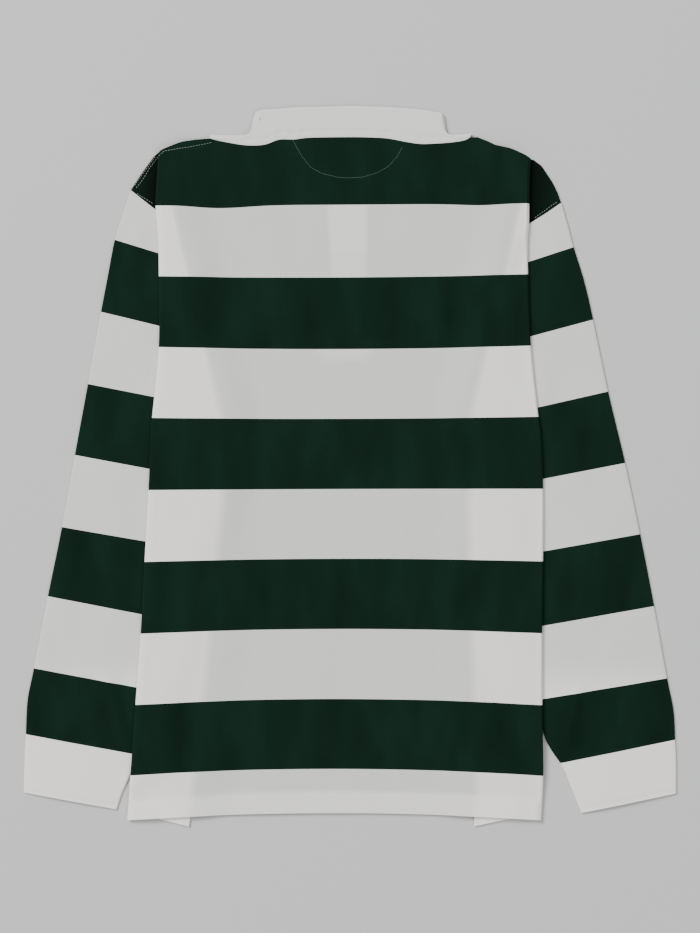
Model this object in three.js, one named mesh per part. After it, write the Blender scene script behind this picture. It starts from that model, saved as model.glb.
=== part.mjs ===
// A long-sleeved rugby shirt in hooped jersey, laid flat on its front with the back showing.
// Its sides are turned under along two long creases, and the sleeves come out from beneath.
//
// Units are millimetres. +Z is up, the shirt rests on Z = 0, +Y runs from the hem to the
// collar and +X to the wearer's right. Every piece is a closed wall of cloth.
import * as THREE from "three";
import { mergeVertices } from "three/addons/utils/BufferGeometryUtils.js";

// ---------------------------------------------------------------- driving sizes

const CLOTH = 1.2;                    // thickness of the heavy jersey and the collar twill
const AIR = 0.35;                     // air between two layers that lie on each other
const SEAM = 0.3;                     // gap between two pieces that are sewn together
const LAYER = CLOTH + AIR;            // rise from one layer to the next
const PAIR = 2 * LAYER;               // rise over two layers, such as a flat sleeve
const STACK = 4 * CLOTH + 3 * AIR;    // height of four layers folded round each other
const FOLD = STACK / 2;               // outer radius of the outer cloth at such a fold
const CORE = AIR / 2;                 // radius left open at the heart of a fold
const DRAPE = 36;                     // width over which cloth comes down off an edge
const FOLD_STEPS = 4;                 // flat facets round a half turn of cloth

const NECK = { x: -2, halfWidth: 104, frontDrop: 92 };
const COLLAR_BED = { x: 0, y: 290, alongX: 190, alongY: 140, margin: 0.1 };
const PLACKET = { left: -21, right: 15 };
const NECK_PATCH = { x: -0.5, top: 350, halfWidth: 58, depth: 40, thickness: 1 };
const HEM_PEEK = { start: 30, drop: 11 };  // the turned-under hem shows past the back hem

// Middle columns of both body panels. The placket's sides are two of them.
const MIDDLE_COLUMNS = [-70, -45, PLACKET.left, PLACKET.right, 40, 65];
const FLAT_SHARES = [0, 1 / 3, 2 / 3, 1];
const DRAPE_SHARES = [1 / 3, 2 / 3, 1];
const BETWEEN_SHARES = [1 / 3, 2 / 3];
const FLAP_SHARES = [0, 1 / 2, 1];

const GREEN = 0x10261d;
const WHITE = 0xc9c9c6;

// ---------------------------------------------------------------- tables

const table = (columns, rows) =>
  rows.map((row) => Object.fromEntries(columns.map((name, i) => [name, row[i]])));

// One row for each level of the body, hem first. y is the height at either crease, bow lifts
// the middle, rise bends the row towards the shoulder line. crease is the folded edge, tuck
// the width turned under, under the reach of the sleeve beneath. From the underarm up the
// cloth folds out again as a flap, whose edge is the armhole and then the shoulder.
const BODY = table(
  ["yLeft", "yRight", "bow", "rise", "creaseLeft", "creaseRight", "tuckLeft", "tuckRight",
    "underLeft", "underRight", "flapLeft", "flapRight"],
  [
    [-379.4, -379.4, 7.5, 0, -239.1, 205.3, 66, 72, -60, -60, null, null],
    [-329.3, -330.6, 5.4, 0, -235.4, 207.4, 70, 73, 22, -4, null, null],
    [-254.0, -254.7, 4.9, 0, -230.0, 206.4, 73, 74, 36, 20, null, null],
    [-178.3, -178.1, 3.8, 0, -224.5, 206.1, 76, 76, 43, 36, null, null],
    [-101.7, -101.1, 2.4, 0, -220.3, 207.2, 79, 79, 68, 62, null, null],
    [-25.0, -24.1, 0.3, 0, -216.1, 207.1, 81, 81, 84, 82, null, null],
    [33.9, 33.9, -0.5, 0, -213.6, 204.8, 82, 82, 88, 88, -137.6, 128.8],
    [52.1, 53.2, -1.5, 0, -212.3, 202.1, 76.4, 74.6, 82, 80, -142.9, 134.1],
    [127.9, 129.3, -2.5, 0, -205.1, 194.0, 51.1, 48.1, 57, 54, -165.2, 155.4],
    [203.7, 205.9, -2, 0, -205.0, 191.0, 32.9, 26.6, 39, 32, -187.3, 176.8],
    [243.4, 243.4, -1, 0, -205.8, 190.6, 24.2, 16.9, 30, 23, -199.1, 187.6],
    [275.7, 260.6, 0, 0.05, -208.7, 192.4, 19.4, 14.5, 25, 20, -208.5, 192.4],
    [285.4, 271.4, 0, 0.1, -208.2, 192.4, 17, 12, 23, 18, -220.3, 209.6],
    [297.2, 283.2, 0, 0.2, -208.0, 192.4, 13.6, 9, 19, 15, -233.2, 226.8],
    [320.8, 305.8, 0, 0.5, -206.4, 192.9, 7.5, 7, 13, 13, -221.4, 216.0],
    [332.6, 323.0, 0, 0.8, -205.8, 193.5, 6.5, 6.5, 12, 12, -207.4, 203.1],
    [338.0, 329.4, 0, 1, -204.2, 194.5, 6, 6, 11, 11, -204.8, 195.1],
  ],
);
const PLACKET_FOOT_ROW = 8;
const NECKLINE_FOOT_ROW = 9;

// The top edge of the back: shoulder, neck, shoulder.
const SHOULDER_LINE = table(["x", "y"], [
  [-204.2, 338.0], [-181.6, 347.7], [-150.5, 352.0], [-107.5, 354.2], [0, 358.5],
  [100, 355.0], [135.4, 353.6], [155.8, 344.5], [172.0, 341.2], [188.1, 333.7], [194.5, 329.4],
]);

// Each sleeve lies flat. One row for each ring, armhole first: the folded outer edge and the
// inner edge, where the underarm seam is.
const SLEEVE_COLUMNS = ["outerX", "outerY", "innerX", "innerY"];
const SLEEVE_LEFT = table(SLEEVE_COLUMNS, [
  [-233.2, 297.2, -137.6, 33.9],
  [-259.0, 221.9, -144.0, 11.3],
  [-274.1, 130.6, -152.6, -24.2],
  [-289.1, 50.0, -165.5, -73.6],
  [-304.2, -36.0, -179.0, -127.4],
  [-319.8, -116.6, -194.5, -187.6],
  [-335.3, -195.1, -209.6, -247.7],
  [-346.6, -245.6, -219.8, -286.4],
  [-348.2, -287.0, -225.7, -309.5],
]);
const SLEEVE_RIGHT = table(SLEEVE_COLUMNS, [
  [226.8, 283.2, 128.8, 33.9],
  [244.0, 224.1, 134.9, 10.2],
  [266.0, 136.0, 144.0, -27.4],
  [285.4, 55.4, 155.8, -74.7],
  [303.6, -33.9, 168.7, -127.4],
  [320.3, -114.5, 183.8, -187.6],
  [334.8, -195.1, 198.3, -247.7],
  [346.1, -251.0, 208.0, -287.5],
  [349.3, -292.9, 225.7, -318.1],
]);
const CUFF_LEFT = table(SLEEVE_COLUMNS, [
  [-348.2, -287.4, -225.7, -309.9],
  [-349.8, -320.8, -240.2, -341.2],
  [-350.4, -349.8, -250.4, -368.1],
]);
const CUFF_RIGHT = table(SLEEVE_COLUMNS, [
  [349.3, -293.3, 225.7, -318.5],
  [350.6, -321.9, 236.5, -343.4],
  [350.4, -350.9, 248.3, -371.9],
]);

// Share of the way across a ring, from the outer edge, and the armhole's place at that share.
const RING_SHARES = [0, 0.1, 0.2, 0.47, 0.73, 1];
const ARMHOLE_BEND_SHARE = 0.2;
const ARMHOLE_LEFT = table(["x", "y"], [[-233.2, 297.2], [-220.3, 285.4], [-208.5, 275.7]]);
const ARMHOLE_RIGHT = table(["x", "y"], [[226.8, 283.2], [209.6, 271.4], [192.4, 260.6]]);

// The collar is one band folded along its length. A row for each section, in order round the
// neck from the left front to the right front: the edge sewn to the neck, the fold, the
// middle of the fall and the fall's own edge. turn is 0 on the back, 180 on the front and
// "side" where the band goes over the shoulder.
const COLLAR = table(
  ["turn", "seamX", "seamY", "foldX", "foldY", "midX", "midY", "fallX", "fallY"],
  [
    [180, -5, 268, -5, 293, -18, 262, -40, 203],
    [180, -25, 270, -20, 295, -38, 250, -55, 208],
    [180, -59, 283.5, -46, 305, -68, 268, -95, 238],
    [180, -92, 316, -71, 327, -97, 305, -130, 275],
    [180, -100, 343, -88, 354, -106, 342, -147, 325],
    [180, -102, 352, -97, 368, -106.5, 352, -149.5, 350],
    ["side", -104, 358.5, -100, 377, -107.5, 357, -150.5, 355],
    [0, -101, 358.5, -98, 378, -106, 357.5, -148, 352],
    [0, -98, 358, -96, 379.5, -105, 359, -140, 347.5],
    [0, -90, 358, -92.4, 381, -101, 364, -113, 344.5],
    [0, -70, 359, -69.9, 385, -75, 368, -79.5, 349.9],
    [0, -38, 360, -37.6, 386.4, -40, 370, -43, 352.7],
    [0, 0, 360.5, 0, 387.5, 0, 370, 0, 353.1],
    [0, 38, 360, 37.6, 386.4, 39, 370, 40.8, 351.5],
    [0, 68, 359, 69.9, 384.2, 72, 366, 75.2, 346],
    [0, 88, 358.5, 93.5, 380.5, 99, 363, 106, 346.5],
    [0, 96, 358.5, 95.5, 379, 102, 359, 122, 348.5],
    [0, 98.5, 359, 97, 378.5, 103, 358, 128, 353],
    ["side", 100.5, 359.5, 98, 378, 104.3, 358.8, 130, 358.6],
    [180, 99, 352, 95, 368, 104, 353, 129.5, 350.5],
    [180, 97, 343, 85, 354, 103, 342, 127, 325],
    [180, 88, 316, 67, 327, 93, 305, 122, 275],
    [180, 55, 283.5, 42, 305, 64, 268, 91, 238],
    [180, 21, 270, 16, 295, 34, 250, 51, 208],
    [180, 1, 268, 1, 293, 14, 262, 36, 203],
  ],
);

// ---------------------------------------------------------------- small helpers

const lerp = THREE.MathUtils.lerp;
const clamp = THREE.MathUtils.clamp;

// 1 until the edge of what lies beneath, then smoothly down to 0.
const fadeFrom = (share) => 1 - THREE.MathUtils.smoothstep(share, 0, 1);

function along(line, x) {
  const last = line.length - 1;
  const place = clamp(x, line[0].x, line[last].x);
  const i = clamp(line.findIndex((point) => point.x >= place), 1, last);
  const share = (place - line[i - 1].x) / (line[i].x - line[i - 1].x);
  return lerp(line[i - 1].y, line[i].y, share);
}

// A closed wall between two faces given as rows of points. A cell is left out where any of
// its corners is null or where skip says so, and every open edge gets a rim.
function wall(face, back, { closed = false, skip = () => false } = {}) {
  const rows = face.length;
  const columns = face[0].length;
  const spans = closed ? columns : columns - 1;
  const filled = (i, j) => {
    if (i < 0 || i >= rows - 1) return false;
    if (!closed && (j < 0 || j >= spans)) return false;
    const here = (j + columns) % columns;
    const next = (here + 1) % columns;
    const corners = [face[i][here], face[i][next], face[i + 1][here], face[i + 1][next]];
    return corners.every((corner) => corner !== null) && !skip(i, here);
  };
  const triangles = [];
  const quad = (a, b, c, d) => triangles.push(a, b, c, a, c, d);
  for (let i = 0; i < rows - 1; i += 1) {
    for (let j = 0; j < spans; j += 1) {
      if (!filled(i, j)) continue;
      const k = (j + 1) % columns;
      quad(face[i][j], face[i][k], face[i + 1][k], face[i + 1][j]);
      quad(back[i][j], back[i + 1][j], back[i + 1][k], back[i][k]);
      if (!filled(i - 1, j)) quad(face[i][k], face[i][j], back[i][j], back[i][k]);
      if (!filled(i + 1, j)) quad(face[i + 1][j], face[i + 1][k], back[i + 1][k], back[i + 1][j]);
      if (!filled(i, j - 1)) quad(face[i][j], face[i + 1][j], back[i + 1][j], back[i][j]);
      if (!filled(i, j + 1)) quad(face[i + 1][k], face[i][k], back[i][k], back[i + 1][k]);
    }
  }
  const geometry = new THREE.BufferGeometry();
  const positions = triangles.flatMap((point) => [point.x, point.y, point.z]);
  geometry.setAttribute("position", new THREE.Float32BufferAttribute(positions, 3));
  const merged = mergeVertices(geometry, 1e-4);
  merged.computeVertexNormals();
  return merged;
}

function sewn(name, geometry, color) {
  const finish = new THREE.MeshStandardMaterial({ color, roughness: 0.9, metalness: 0 });
  const mesh = new THREE.Mesh(geometry, finish);
  mesh.name = name;
  return mesh;
}

// ---------------------------------------------------------------- body panels

function rowHeight(row, x) {
  const share = (x - row.creaseLeft) / (row.creaseRight - row.creaseLeft);
  const bow = row.bow * (1 - (2 * share - 1) ** 2);
  const ends = lerp(along(SHOULDER_LINE, row.creaseLeft), along(SHOULDER_LINE, row.creaseRight), share);
  const level = lerp(row.yLeft, row.yRight, clamp(share, 0, 1));
  return level + bow + row.rise * (along(SHOULDER_LINE, x) - ends);
}

// The front's rows sink towards its lower neckline, more the nearer they are to it.
function frontHeight(row, x) {
  const y = rowHeight(row, x);
  const foot = BODY[NECKLINE_FOOT_ROW];
  const top = BODY[BODY.length - 1];
  const share = clamp((row.yLeft - foot.yLeft) / (top.yLeft - foot.yLeft), 0, 1);
  const across = clamp((x - NECK.x) / NECK.halfWidth, -1, 1);
  return y - share * NECK.frontDrop * Math.sqrt(1 - across * across);
}

// Rise of the cloth over the sleeve beneath it, at a distance inward from the crease.
const sleeveRise = (under, inward) => PAIR * fadeFrom((inward - under) / DRAPE);

// Rise of the top layers over the two layers turned under.
const tuckRise = (tuck, inward) => PAIR * fadeFrom((inward - tuck - 2) / (DRAPE - 2));

// Rise over the front half of the collar.
function collarRise(x, y) {
  const reach = Math.hypot((x - COLLAR_BED.x) / COLLAR_BED.alongX, (y - COLLAR_BED.y) / COLLAR_BED.alongY);
  return LAYER * fadeFrom((reach - 1) / COLLAR_BED.margin);
}

function topRise(row, x, y) {
  const fromLeft = x - row.creaseLeft;
  const fromRight = row.creaseRight - x;
  const left = sleeveRise(row.underLeft, fromLeft) + tuckRise(row.tuckLeft, fromLeft);
  const right = sleeveRise(row.underRight, fromRight) + tuckRise(row.tuckRight, fromRight);
  return left + right + collarRise(x, y);
}

// One side of a panel's section, from the crease inward and underneath, as pairs of points
// on the upper and lower face of the cloth. nested is 0 for the back and 1 for the front,
// which lies inside the back at the crease and outside it at the second fold.
function tuckedSide(row, side, nested, height) {
  const out = side === "Left" ? -1 : 1;
  const crease = row[`crease${side}`];
  const tuck = row[`tuck${side}`];
  const under = row[`under${side}`];
  const flap = row[`flap${side}`];
  const hem = row === BODY[0];
  const at = (inward) => crease - out * inward;
  const point = (x, y, z) => new THREE.Vector3(x, y, z);

  const creaseOuter = FOLD - nested * LAYER;
  const creaseInner = creaseOuter - CLOTH;
  const creaseHeight = sleeveRise(under, FOLD) + FOLD;
  const turn = [];
  for (let i = 1; i < FOLD_STEPS; i += 1) {
    const angle = Math.PI / 2 - (Math.PI * i) / FOLD_STEPS;
    const ringPoint = (radius) => {
      const x = at(FOLD) + out * radius * Math.cos(angle);
      return point(x, height(row, x), creaseHeight + radius * Math.sin(angle));
    };
    turn.push([ringPoint(creaseOuter), ringPoint(creaseInner)]);
  }

  const tucked = FLAT_SHARES.map((share) => {
    const inward = lerp(FOLD, tuck, share);
    const x = at(inward);
    const peek = hem ? HEM_PEEK.drop * clamp((inward - HEM_PEEK.start) / (tuck - HEM_PEEK.start), 0, 1) : 0;
    const y = height(row, x) - peek;
    const z = sleeveRise(under, inward) + nested * LAYER;
    return [point(x, y, z), point(x, y, z + CLOTH)];
  });

  const foldX = at(tuck);
  const foldInner = CORE + nested * LAYER;
  const foldOuter = foldInner + CLOTH;
  const flapFloor = nested ? 0 : LAYER;
  const flapEnd = flap === null ? null : flap - out * SEAM / 2;
  const bend = flap === null ? [null, null] : [
    point(foldX - out * foldInner, height(row, foldX), FOLD),
    point(foldX - out * foldOuter, height(row, foldX), FOLD),
  ];
  const flapPart = FLAP_SHARES.map((share) => {
    if (flap === null) return [null, null];
    const x = lerp(foldX, flapEnd, share);
    const y = height(row, x);
    return [point(x, y, flapFloor + CLOTH), point(x, y, flapFloor)];
  });
  return [...turn, ...tucked, bend, ...flapPart];
}

function panelColumns(row) {
  const left = (inward) => row.creaseLeft + inward;
  const right = (inward) => row.creaseRight - inward;
  const flatLeft = FLAT_SHARES.map((share) => left(lerp(FOLD, row.tuckLeft, share)));
  const flatRight = FLAT_SHARES.map((share) => right(lerp(FOLD, row.tuckRight, share)));
  const drapeLeft = DRAPE_SHARES.map((share) => left(row.tuckLeft + DRAPE * share));
  const drapeRight = DRAPE_SHARES.map((share) => right(row.tuckRight + DRAPE * share));
  const first = MIDDLE_COLUMNS[0];
  const last = MIDDLE_COLUMNS[MIDDLE_COLUMNS.length - 1];
  const gapLeft = BETWEEN_SHARES.map((share) => lerp(left(row.tuckLeft + DRAPE), first, share));
  const gapRight = BETWEEN_SHARES.map((share) => lerp(right(row.tuckRight + DRAPE), last, share));
  return [
    ...flatLeft, ...drapeLeft, ...gapLeft, ...MIDDLE_COLUMNS,
    ...gapRight.reverse(), ...drapeRight.reverse(), ...flatRight.reverse(),
  ];
}

function panelFaces(nested, height) {
  const sections = BODY.map((row) => {
    const top = panelColumns(row).map((x) => {
      const y = height(row, x);
      const z = topRise(row, x, y) + (nested ? 0 : LAYER);
      return [new THREE.Vector3(x, y, z + CLOTH), new THREE.Vector3(x, y, z)];
    });
    const left = tuckedSide(row, "Left", nested, height).reverse();
    const right = tuckedSide(row, "Right", nested, height);
    return [...left, ...top, ...right];
  });
  const face = sections.map((section) => section.map((pair) => pair[0]));
  const back = sections.map((section) => section.map((pair) => pair[1]));
  return { face, back };
}

function backPanel() {
  const { face, back } = panelFaces(0, rowHeight);
  return wall(face, back);
}

// The front has a slit at the neck, which the placket fills.
function frontPanel() {
  const { face, back } = panelFaces(1, frontHeight);
  const slit = face[0].findIndex((point) => point !== null && point.x === PLACKET.left);
  const skip = (i, j) => i >= PLACKET_FOOT_ROW && j === slit;
  return wall(face, back, { skip });
}

function placket() {
  const rows = BODY.slice(PLACKET_FOOT_ROW);
  const edges = [PLACKET.left + SEAM, PLACKET.right - SEAM];
  const faceAt = (lift) => rows.map((row, i) => edges.map((x) => {
    const y = frontHeight(row, x) + (i === 0 ? SEAM : 0);
    return new THREE.Vector3(x, y, topRise(row, x, y) + lift);
  }));
  return wall(faceAt(CLOTH), faceAt(0));
}

// The half moon sewn inside the back of the neck.
function neckPatch() {
  const outline = new THREE.Shape();
  outline.moveTo(NECK_PATCH.x - NECK_PATCH.halfWidth, NECK_PATCH.top);
  outline.absellipse(NECK_PATCH.x, NECK_PATCH.top, NECK_PATCH.halfWidth, NECK_PATCH.depth, Math.PI, 2 * Math.PI, false);
  const settings = { depth: NECK_PATCH.thickness, bevelEnabled: false, curveSegments: 10 };
  const geometry = new THREE.ExtrudeGeometry(outline, settings);
  const backUnderside = collarRise(NECK_PATCH.x, NECK_PATCH.top) + LAYER;
  geometry.translate(0, 0, backUnderside - AIR - NECK_PATCH.thickness);
  return geometry;
}

// ---------------------------------------------------------------- sleeves and cuffs

const HALF_TUBE = CLOTH + AIR / 2;    // half the height of a tube pressed flat

// A flat tube with open ends. Each ring is a list of plan points from the outer to the inner
// edge, and the cloth turns round both edges.
function flatTube(rings) {
  const around = (plan, radius) => {
    const first = plan[0];
    const last = plan[plan.length - 1];
    const across = new THREE.Vector2().subVectors(last, first).normalize();
    const place = (point, offset, z) =>
      new THREE.Vector3(point.x + across.x * offset, point.y + across.y * offset, HALF_TUBE + z);
    const inset = (i) => (i === 0 ? HALF_TUBE : i === plan.length - 1 ? -HALF_TUBE : 0);
    const upper = plan.map((point, i) => place(point, inset(i), radius));
    const lower = plan.map((point, i) => place(point, inset(i), -radius)).reverse();
    const turnAt = (point, centre, direction) => {
      const bend = [];
      for (let i = 1; i < FOLD_STEPS; i += 1) {
        const angle = Math.PI / 2 - (Math.PI * i) / FOLD_STEPS;
        bend.push(place(point, centre + direction * radius * Math.cos(angle), radius * Math.sin(angle)));
      }
      return bend;
    };
    const innerTurn = turnAt(last, -HALF_TUBE, 1);
    const outerTurn = turnAt(first, HALF_TUBE, -1).reverse();
    return [...upper, ...innerTurn, ...lower, ...outerTurn];
  };
  const face = rings.map((ring) => around(ring, HALF_TUBE));
  const back = rings.map((ring) => around(ring, CORE));
  return { face, back };
}

function ringPlan(row) {
  const outer = new THREE.Vector2(row.outerX, row.outerY);
  const inner = new THREE.Vector2(row.innerX, row.innerY);
  return RING_SHARES.map((share) => new THREE.Vector2().lerpVectors(outer, inner, share));
}

function armholePlan(row, bendPoints, out) {
  const bend = bendPoints[bendPoints.length - 1];
  return RING_SHARES.map((share, i) => {
    if (i < bendPoints.length) {
      return new THREE.Vector2(bendPoints[i].x + out * SEAM, bendPoints[i].y - SEAM);
    }
    const rest = (share - ARMHOLE_BEND_SHARE) / (1 - ARMHOLE_BEND_SHARE);
    const x = lerp(bend.x, row.innerX, rest);
    const y = lerp(bend.y, row.innerY, rest);
    return new THREE.Vector2(x + out * SEAM, y - SEAM);
  });
}

// Seen from above, the left tube's rings run the other way round from the right one's.
function tubeWall(rings, out) {
  const { face, back } = flatTube(rings);
  const facing = (grid) => (out > 0 ? grid : grid.map((ring) => [...ring].reverse()));
  return wall(facing(face), facing(back), { closed: true });
}

function sleeve(rows, bendPoints, out) {
  const rings = rows.map((row, i) => (i === 0 ? armholePlan(row, bendPoints, out) : ringPlan(row)));
  return tubeWall(rings, out);
}

const cuff = (rows, out) => tubeWall(rows.map(ringPlan), out);

// ---------------------------------------------------------------- collar

const COLLAR_MIDDLE = FOLD;           // height of the plane between the back and front collar
const STAND_RADII = [CORE, CORE + CLOTH];
const FALL_RADII = [CORE + LAYER, CORE + LAYER + CLOTH];
const SIDE_TURNS = [45, 90, 135];

// Points of a collar section at one radius from the middle plane, for one angle of the turn.
function collarPoint(plan, outward, radius, degrees) {
  const angle = THREE.MathUtils.degToRad(degrees);
  const turned = degrees === 0 || degrees === 180 ? 0 : radius * Math.sin(angle) - FALL_RADII[1];
  const x = plan.x + outward.x * turned;
  const y = plan.y + outward.y * turned;
  return new THREE.Vector3(x, y, COLLAR_MIDDLE + radius * Math.cos(angle));
}

function collarSection(row, degrees) {
  const side = Math.sign(row.foldX);
  const seam = new THREE.Vector2(row.seamX, row.seamY);
  const fold = new THREE.Vector2(row.foldX, row.foldY);
  const mid = new THREE.Vector2(row.midX, row.midY);
  const fall = new THREE.Vector2(row.fallX, row.fallY);
  const normal = (a, b) => {
    const run = new THREE.Vector2().subVectors(b, a).normalize();
    return new THREE.Vector2(side * -run.y, side * run.x);
  };
  const atFold = normal(fold, mid);
  const atFall = normal(mid, fall);
  const atMid = new THREE.Vector2().addVectors(atFold, atFall).normalize();
  const crown = new THREE.Vector2().subVectors(fold, seam).normalize();
  const foldTop = (reach) => fold.clone().addScaledVector(crown, reach);
  const below = fold.clone().addScaledVector(crown, -FALL_RADII[1]);
  const middleRadius = (STAND_RADII[1] + FALL_RADII[0]) / 2;
  const tip = (reach) => collarPoint(foldTop(reach - FALL_RADII[1]), atFold, middleRadius, degrees);
  const outerFace = [
    collarPoint(fall, atFall, FALL_RADII[1], degrees),
    collarPoint(mid, atMid, FALL_RADII[1], degrees),
    collarPoint(below, atFold, FALL_RADII[1], degrees),
    tip(FALL_RADII[1]),
    collarPoint(below, atFold, STAND_RADII[0], degrees),
    collarPoint(seam, atFold, STAND_RADII[0], degrees),
  ];
  const innerFace = [
    collarPoint(fall, atFall, FALL_RADII[0], degrees),
    collarPoint(mid, atMid, FALL_RADII[0], degrees),
    collarPoint(below, atFold, FALL_RADII[0], degrees),
    tip(FALL_RADII[1] - CLOTH),
    collarPoint(below, atFold, STAND_RADII[1], degrees),
    collarPoint(seam, atFold, STAND_RADII[1], degrees),
  ];
  return { outerFace, innerFace };
}

function collar() {
  const sections = COLLAR.flatMap((row) => {
    if (row.turn !== "side") return [collarSection(row, row.turn)];
    const turns = row.foldX < 0 ? [...SIDE_TURNS].reverse() : SIDE_TURNS;
    return turns.map((degrees) => collarSection(row, degrees));
  });
  return wall(sections.map((one) => one.innerFace), sections.map((one) => one.outerFace));
}

// ---------------------------------------------------------------- the shirt

const shirt = new THREE.Group();
shirt.add(sewn("back_panel", backPanel(), GREEN));
shirt.add(sewn("front_panel", frontPanel(), GREEN));
shirt.add(sewn("placket", placket(), WHITE));
shirt.add(sewn("neck_patch", neckPatch(), GREEN));
shirt.add(sewn("sleeve_left", sleeve(SLEEVE_LEFT, ARMHOLE_LEFT, -1), GREEN));
shirt.add(sewn("sleeve_right", sleeve(SLEEVE_RIGHT, ARMHOLE_RIGHT, 1), GREEN));
shirt.add(sewn("cuff_left", cuff(CUFF_LEFT, -1), WHITE));
shirt.add(sewn("cuff_right", cuff(CUFF_RIGHT, 1), WHITE));
shirt.add(sewn("collar", collar(), WHITE));

export default shirt;
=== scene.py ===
# A hooped rugby shirt laid flat with its back up: cloth pieces, stitching, floor, light and camera.
# Sizes below are in millimetres and become metres when a mesh is made.
import math

import bmesh
import bpy
import numpy as np
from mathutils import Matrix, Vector


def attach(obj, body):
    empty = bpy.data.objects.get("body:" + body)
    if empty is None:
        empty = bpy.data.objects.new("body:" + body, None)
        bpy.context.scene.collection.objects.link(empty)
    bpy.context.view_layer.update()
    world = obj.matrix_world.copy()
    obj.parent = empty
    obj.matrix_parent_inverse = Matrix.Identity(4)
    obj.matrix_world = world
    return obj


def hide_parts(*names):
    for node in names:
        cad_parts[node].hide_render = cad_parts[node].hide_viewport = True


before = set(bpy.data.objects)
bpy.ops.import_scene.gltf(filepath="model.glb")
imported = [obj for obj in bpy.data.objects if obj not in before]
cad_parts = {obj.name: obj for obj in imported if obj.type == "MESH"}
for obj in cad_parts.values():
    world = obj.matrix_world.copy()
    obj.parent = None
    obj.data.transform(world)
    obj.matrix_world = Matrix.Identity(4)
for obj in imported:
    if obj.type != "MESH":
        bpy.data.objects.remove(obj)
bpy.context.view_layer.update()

MM = 0.001
CLOTH = 1.2                    # heavy jersey and collar twill
AIR = 0.35                     # air between layers that lie on each other
LAYER = CLOTH + AIR
PAIR = 2 * LAYER
FOLD = (4 * CLOTH + 3 * AIR) / 2
CORE = AIR / 2
DRAPE = 42.0                   # width over which cloth comes down off an edge
HOOP = 76.2                    # depth of one hoop
LOFT = 0.9                     # height the back stands off the front in the middle

# ------------------------------------------------------------------ tables


def table(names, rows):
    return {name: np.array([row[i] for row in rows], float) for i, name in enumerate(names.split())}


# Levels of the body from the hem up, as the two creases, the turned-under widths and the
# reach of the sleeves beneath.
BODY = table(
    "yl yr bow rise cl cr tl tr ul ur",
    [
        (-379.4, -379.4, 7.5, 0, -239.1, 205.3, 66, 72, -60, -60),
        (-329.3, -330.6, 5.4, 0, -235.4, 207.4, 70, 73, 8, -12),
        (-254.0, -254.7, 4.9, 0, -230.0, 206.2, 73, 74, 28, 18),
        (-178.3, -178.1, 3.8, 0, -224.5, 206.1, 76, 76, 43, 36),
        (-101.7, -101.1, 2.4, 0, -220.3, 207.0, 79, 79, 58, 56),
        (-25.0, -24.1, 0.3, 0, -216.1, 207.1, 81, 81, 76, 77),
        (33.9, 33.9, -0.5, 0, -213.6, 204.8, 82, 82, 88, 88),
        (52.1, 53.2, -1.5, 0, -212.3, 202.1, 76.4, 74.6, 82, 80),
        (127.9, 129.3, -2.5, 0, -205.1, 194.0, 51.1, 48.1, 57, 54),
        (203.7, 205.9, -2, 0, -205.0, 191.0, 32.9, 26.6, 39, 32),
        (243.4, 243.4, -1, 0, -205.8, 190.6, 24.2, 16.9, 30, 23),
        (275.7, 260.6, 0, 0.05, -208.4, 192.0, 19.4, 14.5, 25, 20),
        (297.2, 283.2, 0, 0.2, -208.0, 192.2, 13.6, 9, 19, 15),
        (320.8, 305.8, 0, 0.5, -206.4, 192.7, 7.5, 7, 13, 13),
        (332.6, 323.0, 0, 0.8, -205.8, 193.3, 6.5, 6.5, 12, 12),
        (338.0, 329.4, 0, 1, -204.2, 194.5, 6, 6, 11, 11),
    ],
)
SHOULDER = table("x y", [
    (-204.2, 338.0), (-198.5, 341.0), (-181.6, 347.7), (-165.0, 350.6), (-150.5, 352.0), (-107.5, 354.2),
    (0, 358.5), (100, 355.0), (129.0, 351.8), (135.4, 353.9), (145.1, 350.2), (155.8, 344.9),
    (172.0, 341.0), (188.1, 333.7), (194.5, 329.4),
])

# Edges between the hoops of the back, top first: height at the left, in the middle, at the right.
BACK_HOOPS = table("left middle right", [
    (279.6, 280.8, 281.8),
    (203.9, 202.8, 206.1),
    (128.0, 126.0, 129.4),
    (52.0, 51.2, 53.2),
    (-25.2, -24.2, -23.9),
    (-101.8, -99.0, -101.3),
    (-178.4, -174.4, -178.2),
    (-254.2, -249.5, -255.0),
    (-329.4, -324.6, -330.8),
])

# Edges between the hoops of each sleeve: where they meet the outer edge, and their slope.
LEFT_HOOPS = table("x y slope", [
    (-251.5, 243.2, -0.31), (-267.6, 166.1, -0.243), (-281.6, 88.7, -0.197), (-295.6, 12.4, -0.187),
    (-309.5, -65.0, -0.171), (-324.6, -139.2, -0.193), (-339.6, -216.6, -0.186),
])
RIGHT_HOOPS = table("x y slope", [
    (238.6, 235.1, 0.326), (261.2, 157.7, 0.27), (277.3, 80.6, 0.227), (295.6, 3.8, 0.194),
    (311.7, -72.5, 0.178), (326.7, -149.9, 0.177), (340.7, -227.3, 0.168),
])

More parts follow.
